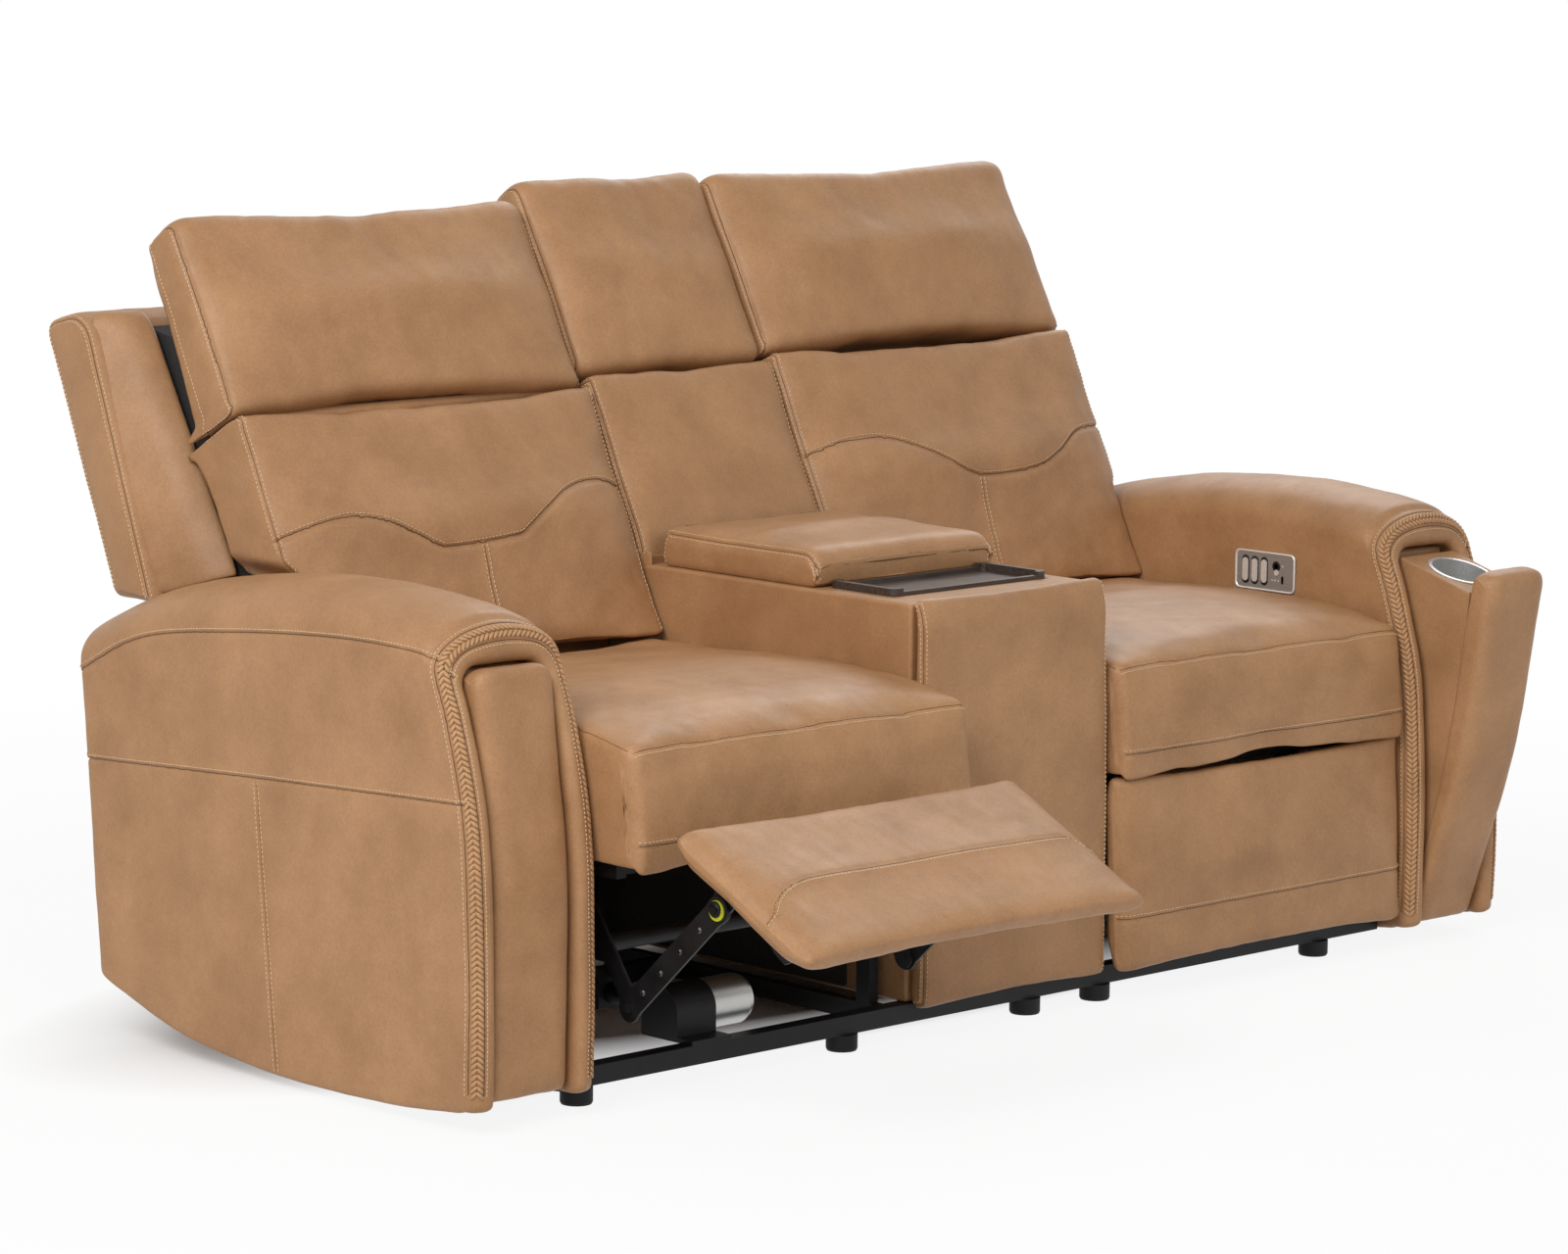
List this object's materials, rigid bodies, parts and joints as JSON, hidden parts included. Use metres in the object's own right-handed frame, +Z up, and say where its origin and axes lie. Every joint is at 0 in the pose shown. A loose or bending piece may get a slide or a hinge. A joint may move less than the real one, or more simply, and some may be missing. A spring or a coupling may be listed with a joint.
{
  "type": "reclining loveseat",
  "caption": "Leather power reclining loveseat with a centre console, sliding seats, folding footrests, tilting headrests and tilt-out cup drawers in the arms.",
  "frame": {"origin": "on the floor below the middle of the loveseat's overall width and depth as stored", "axes": "+X to the right of someone who faces the loveseat, +Y from front to back, +Z up"},
  "size_m": [1.956, 1.4031, 1.0822],
  "materials": {
    "leather": "satin",
    "outer_leather": "satin",
    "black_steel": "satin",
    "black_fabric": "matte",
    "foot_plastic": "matte",
    "motor_metal": "satin",
    "plate_metal": "satin",
    "button_metal": "satin",
    "cup_steel": "satin",
    "bushing": "satin",
    "tray_wood": "satin"
  },
  "bodies": {
    "base": {"front_rail": "black_steel", "rear_rail": "black_steel", "feet": "foot_plastic", "rear_panel": "outer_leather", "console_body": "leather", "console_front_pad": "leather", "console_back_pad": "leather", "console_headrest_pad": "leather", "console_back_shell": "outer_leather", "lid_hinge": "black_steel", "left_base_frame": "black_steel", "left_arm": "leather", "left_control_plate": "plate_metal", "left_motor": "motor_metal", "left_drive": "black_steel", "right_base_frame": "black_steel", "right_arm": "leather", "right_control_plate": "plate_metal", "right_motor": "motor_metal", "right_drive": "black_steel"},
    "left_carriage": {"left_seat_frame": "black_steel", "left_seat_cushion": "leather"},
    "left_swing": {"left_swing_links": "black_steel"},
    "left_lift": {"left_lift_links": "black_steel", "left_link_bushings": "bushing"},
    "left_footrest": {"left_footrest_brackets": "black_steel", "left_footrest_pad": "leather"},
    "left_nut": {"left_drive_nut": "black_steel"},
    "left_back": {"left_back_frame": "black_fabric", "left_back_shell": "outer_leather", "left_back_cushion": "leather", "left_headrest_hinge": "black_steel"},
    "left_headrest": {"left_headrest_cushion": "leather"},
    "left_drawer": {"left_cup_drawer": "leather", "left_cup_liner": "cup_steel"},
    "left_recline_rocker": {"left_rocker_recline": "button_metal"},
    "left_headrest_rocker": {"left_rocker_headrest": "button_metal"},
    "left_lumbar_rocker": {"left_rocker_lumbar": "button_metal"},
    "left_button": {"left_home_button": "button_metal"},
    "right_carriage": {"right_seat_frame": "black_steel", "right_seat_cushion": "leather"},
    "right_swing": {"right_swing_links": "black_steel"},
    "right_lift": {"right_lift_links": "black_steel", "right_link_bushings": "bushing"},
    "right_footrest": {"right_footrest_brackets": "black_steel", "right_footrest_pad": "leather"},
    "right_nut": {"right_drive_nut": "black_steel"},
    "right_back": {"right_back_frame": "black_fabric", "right_back_shell": "outer_leather", "right_back_cushion": "leather", "right_headrest_hinge": "black_steel"},
    "right_headrest": {"right_headrest_cushion": "leather"},
    "right_drawer": {"right_cup_drawer": "leather", "right_cup_liner": "cup_steel"},
    "right_recline_rocker": {"right_rocker_recline": "button_metal"},
    "right_headrest_rocker": {"right_rocker_headrest": "button_metal"},
    "right_lumbar_rocker": {"right_rocker_lumbar": "button_metal"},
    "right_button": {"right_home_button": "button_metal"},
    "lid": {"console_lid": "leather"},
    "tray": {"console_tray": "tray_wood"}
  },
  "joints": [
    {"name": "left_seat_slide", "type": "slide", "parent": "base", "child": "left_carriage", "axis": [0, -1, 0], "range_m": [-0.075, 0.033]},
    {"name": "left_swing_hinge", "type": "hinge", "parent": "left_carriage", "child": "left_swing", "pos_m": [-0.478, -0.21, 0.274], "axis": [-1, 0, 0], "range_deg": [-66.62, 29.32]},
    {"name": "left_lift_hinge", "type": "hinge", "parent": "left_swing", "child": "left_lift", "pos_m": [-0.478, -0.31453, 0.12746], "axis": [1, 0, 0], "range_deg": [-59.02, 25.98]},
    {"name": "left_footrest_hinge", "type": "hinge", "parent": "left_lift", "child": "left_footrest", "pos_m": [-0.478, -0.47375, 0.27489], "axis": [-1, 0, 0], "range_deg": [-52.12, 22.95]},
    {"name": "left_nut_slide", "type": "slide", "parent": "base", "child": "left_nut", "axis": [0, -1, 0], "range_m": [-0.09752, 0.04292]},
    {"name": "left_back_hinge", "type": "hinge", "parent": "base", "child": "left_back", "pos_m": [-0.478, 0.343, 0.42], "axis": [-1, 0, 0], "range_deg": [0, 30]},
    {"name": "left_headrest_hinge_joint", "type": "hinge", "parent": "left_back", "child": "left_headrest", "pos_m": [-0.478, 0.40025, 0.8068], "axis": [1, 0, 0], "range_deg": [0, 15]},
    {"name": "left_drawer_hinge", "type": "hinge", "parent": "base", "child": "left_drawer", "pos_m": [-0.878, -0.277, 0.06], "axis": [1, 0, 0], "range_deg": [0, 17]},
    {"name": "left_recline_rocker_hinge", "type": "hinge", "parent": "base", "child": "left_recline_rocker", "pos_m": [-0.7772, 0.003, 0.519], "axis": [0, 1, 0], "range_deg": [-5, 5], "stiffness_Nm_per_rad": 0.05},
    {"name": "left_headrest_rocker_hinge", "type": "hinge", "parent": "base", "child": "left_headrest_rocker", "pos_m": [-0.7772, -0.015, 0.519], "axis": [0, 1, 0], "range_deg": [-5, 5], "stiffness_Nm_per_rad": 0.05},
    {"name": "left_lumbar_rocker_hinge", "type": "hinge", "parent": "base", "child": "left_lumbar_rocker", "pos_m": [-0.7772, -0.033, 0.519], "axis": [0, 1, 0], "range_deg": [-5, 5], "stiffness_Nm_per_rad": 0.05},
    {"name": "left_button_slide", "type": "slide", "parent": "base", "child": "left_button", "axis": [-1, 0, 0], "range_m": [0, 0.001], "stiffness_N_per_m": 300},
    {"name": "right_seat_slide", "type": "slide", "parent": "base", "child": "right_carriage", "axis": [0, -1, 0], "range_m": [0, 0.108]},
    {"name": "right_swing_hinge", "type": "hinge", "parent": "right_carriage", "child": "right_swing", "pos_m": [0.478, -0.135, 0.274], "axis": [-1, 0, 0], "range_deg": [0, 95.92]},
    {"name": "right_lift_hinge", "type": "hinge", "parent": "right_swing", "child": "right_lift", "pos_m": [0.478, -0.04202, 0.11987], "axis": [1, 0, 0], "range_deg": [0, 84.98]},
    {"name": "right_footrest_hinge", "type": "hinge", "parent": "right_lift", "child": "right_footrest", "pos_m": [0.478, -0.21934, 0.24496], "axis": [-1, 0, 0], "range_deg": [0, 75.05]},
    {"name": "right_nut_slide", "type": "slide", "parent": "base", "child": "right_nut", "axis": [0, -1, 0], "range_m": [0, 0.14042]},
    {"name": "right_back_hinge", "type": "hinge", "parent": "base", "child": "right_back", "pos_m": [0.478, 0.343, 0.42], "axis": [-1, 0, 0], "range_deg": [0, 30]},
    {"name": "right_headrest_hinge_joint", "type": "hinge", "parent": "right_back", "child": "right_headrest", "pos_m": [0.478, 0.40025, 0.8068], "axis": [1, 0, 0], "range_deg": [0, 15]},
    {"name": "right_drawer_hinge", "type": "hinge", "parent": "base", "child": "right_drawer", "pos_m": [0.878, -0.277, 0.06], "axis": [1, 0, 0], "range_deg": [-17, 0]},
    {"name": "right_recline_rocker_hinge", "type": "hinge", "parent": "base", "child": "right_recline_rocker", "pos_m": [0.7772, 0.003, 0.519], "axis": [0, 1, 0], "range_deg": [-5, 5], "stiffness_Nm_per_rad": 0.05},
    {"name": "right_headrest_rocker_hinge", "type": "hinge", "parent": "base", "child": "right_headrest_rocker", "pos_m": [0.7772, -0.015, 0.519], "axis": [0, 1, 0], "range_deg": [-5, 5], "stiffness_Nm_per_rad": 0.05},
    {"name": "right_lumbar_rocker_hinge", "type": "hinge", "parent": "base", "child": "right_lumbar_rocker", "pos_m": [0.7772, -0.033, 0.519], "axis": [0, 1, 0], "range_deg": [-5, 5], "stiffness_Nm_per_rad": 0.05},
    {"name": "right_button_slide", "type": "slide", "parent": "base", "child": "right_button", "axis": [1, 0, 0], "range_m": [0, 0.001], "stiffness_N_per_m": 300},
    {"name": "lid_hinge_joint", "type": "hinge", "parent": "base", "child": "lid", "pos_m": [0, 0.237, 0.626], "axis": [-1, 0, 0], "range_deg": [0, 85]},
    {"name": "tray_lift", "type": "slide", "parent": "base", "child": "tray", "axis": [0, 0, 1], "range_m": [0, 0.12]}
  ],
  "couplings": [
    {"joint": "left_swing_hinge", "follows": "left_seat_slide", "rad_per_m": 15.498},
    {"joint": "left_lift_hinge", "follows": "left_seat_slide", "rad_per_m": 13.73},
    {"joint": "left_footrest_hinge", "follows": "left_seat_slide", "rad_per_m": 12.125},
    {"joint": "left_nut_slide", "follows": "left_seat_slide", "ratio": 1.3},
    {"joint": "right_swing_hinge", "follows": "right_seat_slide", "rad_per_m": 15.498},
    {"joint": "right_lift_hinge", "follows": "right_seat_slide", "rad_per_m": 13.73},
    {"joint": "right_footrest_hinge", "follows": "right_seat_slide", "rad_per_m": 12.125},
    {"joint": "right_nut_slide", "follows": "right_seat_slide", "ratio": 1.3}
  ]
}
